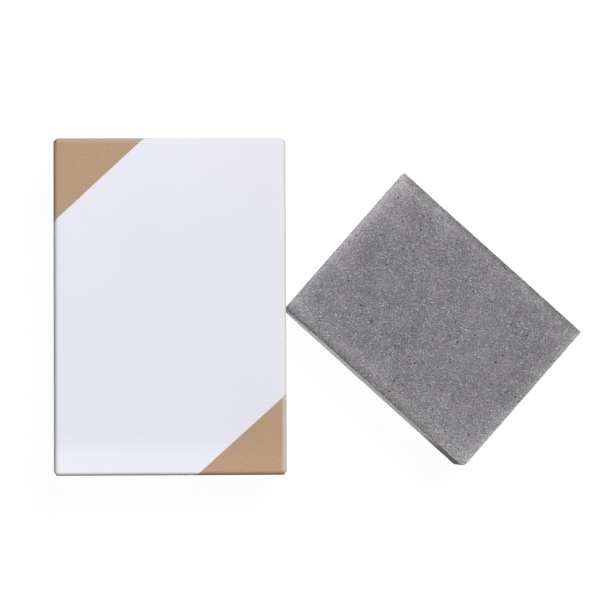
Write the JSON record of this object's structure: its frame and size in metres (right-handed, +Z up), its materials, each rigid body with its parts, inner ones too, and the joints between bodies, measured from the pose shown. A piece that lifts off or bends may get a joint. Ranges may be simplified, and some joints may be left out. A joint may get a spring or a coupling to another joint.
{
  "type": "suede eraser",
  "caption": "Grey abrasive rubber eraser block for suede and nubuck, lying beside its white folding carton with tuck-in ends that open on creases.",
  "frame": {"origin": "middle of the set's footprint, on the table: bottom centre of the bounding box", "axes": "+X from the carton to the eraser, +Y towards the carton's top end, +Z up, out of the carton's front panel"},
  "size_m": [0.11, 0.07, 0.02],
  "materials": {
    "board": "matte coated white carton board",
    "adhesive": "dried clear-white glue film",
    "eraser_rubber": "matte grey abrasive-filled rubber, fine sparkling grain"
  },
  "bodies": {
    "sleeve": {"front_panel": "board", "back_panel": "board", "left_side_panel": "board", "right_side_panel": "board", "glue_flap": "board", "seam_adhesive": "adhesive"},
    "top_closure": {"top_closure_panel": "board"},
    "top_tuck": {"top_tuck_flap": "board"},
    "top_left_dust": {"top_left_dust_flap": "board"},
    "top_right_dust": {"top_right_dust_flap": "board"},
    "bottom_closure": {"bottom_closure_panel": "board"},
    "bottom_tuck": {"bottom_tuck_flap": "board"},
    "bottom_left_dust": {"bottom_left_dust_flap": "board"},
    "bottom_right_dust": {"bottom_right_dust_flap": "board"},
    "eraser": {"eraser_block": "eraser_rubber"}
  },
  "joints": [
    {"name": "top_closure_crease", "type": "hinge", "parent": "sleeve", "child": "top_closure", "pos_m": [-0.03086, 0.0349, 0.0199], "axis": [1, 0, 0], "range_deg": [0, 175]},
    {"name": "top_tuck_crease", "type": "hinge", "parent": "top_closure", "child": "top_tuck", "pos_m": [-0.03086, 0.0349, 0.0007], "axis": [1, 0, 0], "range_deg": [0, 35]},
    {"name": "top_left_dust_crease", "type": "hinge", "parent": "sleeve", "child": "top_left_dust", "pos_m": [-0.05486, 0.0343, 0.0109], "axis": [0, 0, 1], "range_deg": [0, 90]},
    {"name": "top_right_dust_crease", "type": "hinge", "parent": "sleeve", "child": "top_right_dust", "pos_m": [-0.00686, 0.0343, 0.0109], "axis": [0, 0, -1], "range_deg": [0, 90]},
    {"name": "bottom_closure_crease", "type": "hinge", "parent": "sleeve", "child": "bottom_closure", "pos_m": [-0.03086, -0.0349, 0.0199], "axis": [-1, 0, 0], "range_deg": [0, 175]},
    {"name": "bottom_tuck_crease", "type": "hinge", "parent": "bottom_closure", "child": "bottom_tuck", "pos_m": [-0.03086, -0.0349, 0.0007], "axis": [-1, 0, 0], "range_deg": [0, 35]},
    {"name": "bottom_left_dust_crease", "type": "hinge", "parent": "sleeve", "child": "bottom_left_dust", "pos_m": [-0.05486, -0.0343, 0.0109], "axis": [0, 0, -1], "range_deg": [0, 90]},
    {"name": "bottom_right_dust_crease", "type": "hinge", "parent": "sleeve", "child": "bottom_right_dust", "pos_m": [-0.00686, -0.0343, 0.0109], "axis": [0, 0, 1], "range_deg": [0, 90]},
    {"name": "eraser_lift", "type": "slide", "parent": "sleeve", "child": "eraser", "axis": [0, 0, 1], "range_m": [0, 0.06]}
  ],
  "couplings": [
    {"joint": "top_tuck_crease", "follows": "top_closure_crease", "ratio": 0.2},
    {"joint": "top_left_dust_crease", "follows": "top_closure_crease", "ratio": 0.514},
    {"joint": "top_right_dust_crease", "follows": "top_closure_crease", "ratio": 0.514},
    {"joint": "bottom_tuck_crease", "follows": "bottom_closure_crease", "ratio": 0.2},
    {"joint": "bottom_left_dust_crease", "follows": "bottom_closure_crease", "ratio": 0.514},
    {"joint": "bottom_right_dust_crease", "follows": "bottom_closure_crease", "ratio": 0.514}
  ]
}
